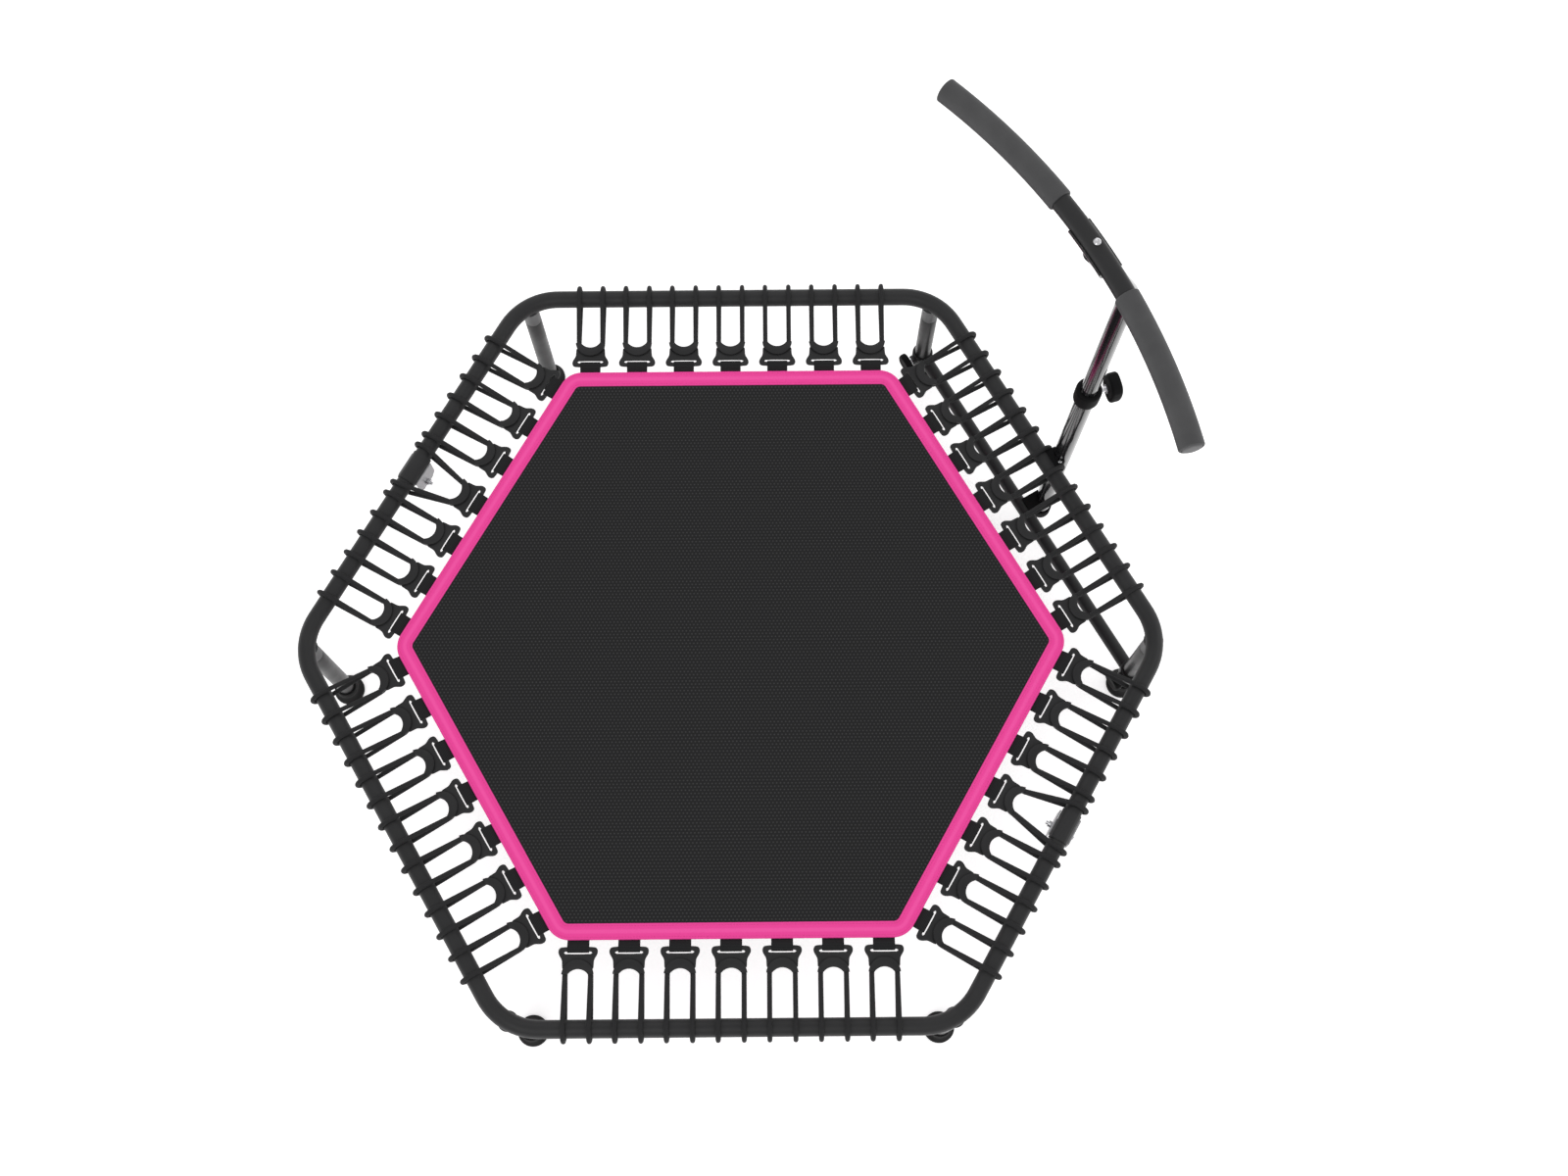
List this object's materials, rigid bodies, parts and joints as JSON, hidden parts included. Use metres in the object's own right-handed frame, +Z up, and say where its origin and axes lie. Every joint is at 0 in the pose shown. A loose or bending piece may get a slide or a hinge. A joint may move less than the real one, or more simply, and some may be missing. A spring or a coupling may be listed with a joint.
{
  "type": "mini trampoline",
  "caption": "Hexagonal mini trampoline: a round-tube rail on legs, a cloth mat hung on elastic cords in hooks, and a bowed foam-gripped handlebar on a height-adjustable post.",
  "frame": {"origin": "on the floor, under the middle of the whole model's box", "axes": "+X along the handlebar, +Y from the mat's middle to the handlebar post, +Z up"},
  "size_m": [1.3242, 1.2254, 1.125],
  "materials": {
    "frame_paint": "satin black powder coat",
    "leg_steel": "glossy dark grey",
    "post_gloss": "high gloss black",
    "chrome": "polished",
    "black_plastic": "moulded, fine grain",
    "hook_plastic": "moulded nylon",
    "rubber": "matt",
    "foam": "closed-cell foam, matt",
    "jump_cloth": "woven polypropylene",
    "binding": "woven tape",
    "elastic_cord": "braided sheath"
  },
  "bodies": {
    "frame": {"rail_half_handle": "frame_paint", "rail_half_far": "frame_paint", "joint_sleeve_1": "frame_paint", "joint_sleeve_2": "frame_paint", "joint_bracket_1": "leg_steel", "joint_bracket_2": "leg_steel", "joint_bolt_1": "chrome", "joint_bolt_2": "chrome", "leg_1": "leg_steel", "leg_2": "leg_steel", "leg_3": "leg_steel", "leg_4": "leg_steel", "leg_5": "leg_steel", "leg_6": "leg_steel", "foot_1": "rubber", "foot_2": "rubber", "foot_3": "rubber", "foot_4": "rubber", "foot_5": "rubber", "foot_6": "rubber", "crossbar": "frame_paint", "post_lower_tube": "post_gloss", "post_end_cap": "black_plastic", "rail_clamp": "black_plastic", "rail_bolt": "chrome", "crossbar_clamp": "black_plastic", "height_collar": "black_plastic", "elastic_row_1": "elastic_cord", "elastic_row_2": "elastic_cord", "elastic_row_3": "elastic_cord", "elastic_row_4": "elastic_cord", "elastic_row_5": "elastic_cord", "elastic_row_6": "elastic_cord"},
    "mat": {"jump_mat": "jump_cloth", "edge_binding": "binding", "hook_row_1": "hook_plastic", "hook_row_2": "hook_plastic", "hook_row_3": "hook_plastic", "hook_row_4": "hook_plastic", "hook_row_5": "hook_plastic", "hook_row_6": "hook_plastic"},
    "handle": {"post_upper_tube": "post_gloss", "handlebar_saddle": "post_gloss", "handlebar": "post_gloss", "handlebar_bolt": "chrome", "grip_left": "foam", "grip_right": "foam", "handlebar_end_cap_left": "rubber", "handlebar_end_cap_right": "rubber"},
    "height_clamp": {"height_knob": "black_plastic", "height_screw": "chrome"},
    "crossbar_clamp_1": {"crossbar_1_knob": "black_plastic", "crossbar_1_screw": "chrome"},
    "crossbar_clamp_2": {"crossbar_2_knob": "black_plastic", "crossbar_2_screw": "chrome"}
  },
  "joints": [
    {"name": "mat_bounce", "type": "slide", "parent": "frame", "child": "mat", "axis": [0, 0, 1], "range_m": [-0.12, 0], "stiffness_N_per_m": 10000, "springref_m": 0.003, "deforming": ["elastic_row_1", "elastic_row_2", "elastic_row_3", "elastic_row_4", "elastic_row_5", "elastic_row_6"]},
    {"name": "handle_height", "type": "slide", "parent": "frame", "child": "handle", "axis": [0, 0, 1], "range_m": [-0.16, 0.12]},
    {"name": "height_knob_turn", "type": "hinge", "parent": "frame", "child": "height_clamp", "pos_m": [0, 0.56368, 0.548], "axis": [0.2588, 0.9659, 0], "range_deg": [0, 360]},
    {"name": "crossbar_knob_1_turn", "type": "hinge", "parent": "frame", "child": "crossbar_clamp_1", "pos_m": [0.31882, 0.52288, 0.09], "axis": [0, -1, 0], "range_deg": [0, 360]},
    {"name": "crossbar_knob_2_turn", "type": "hinge", "parent": "frame", "child": "crossbar_clamp_2", "pos_m": [-0.31882, 0.52288, 0.09], "axis": [0, -1, 0], "range_deg": [0, 360]}
  ]
}
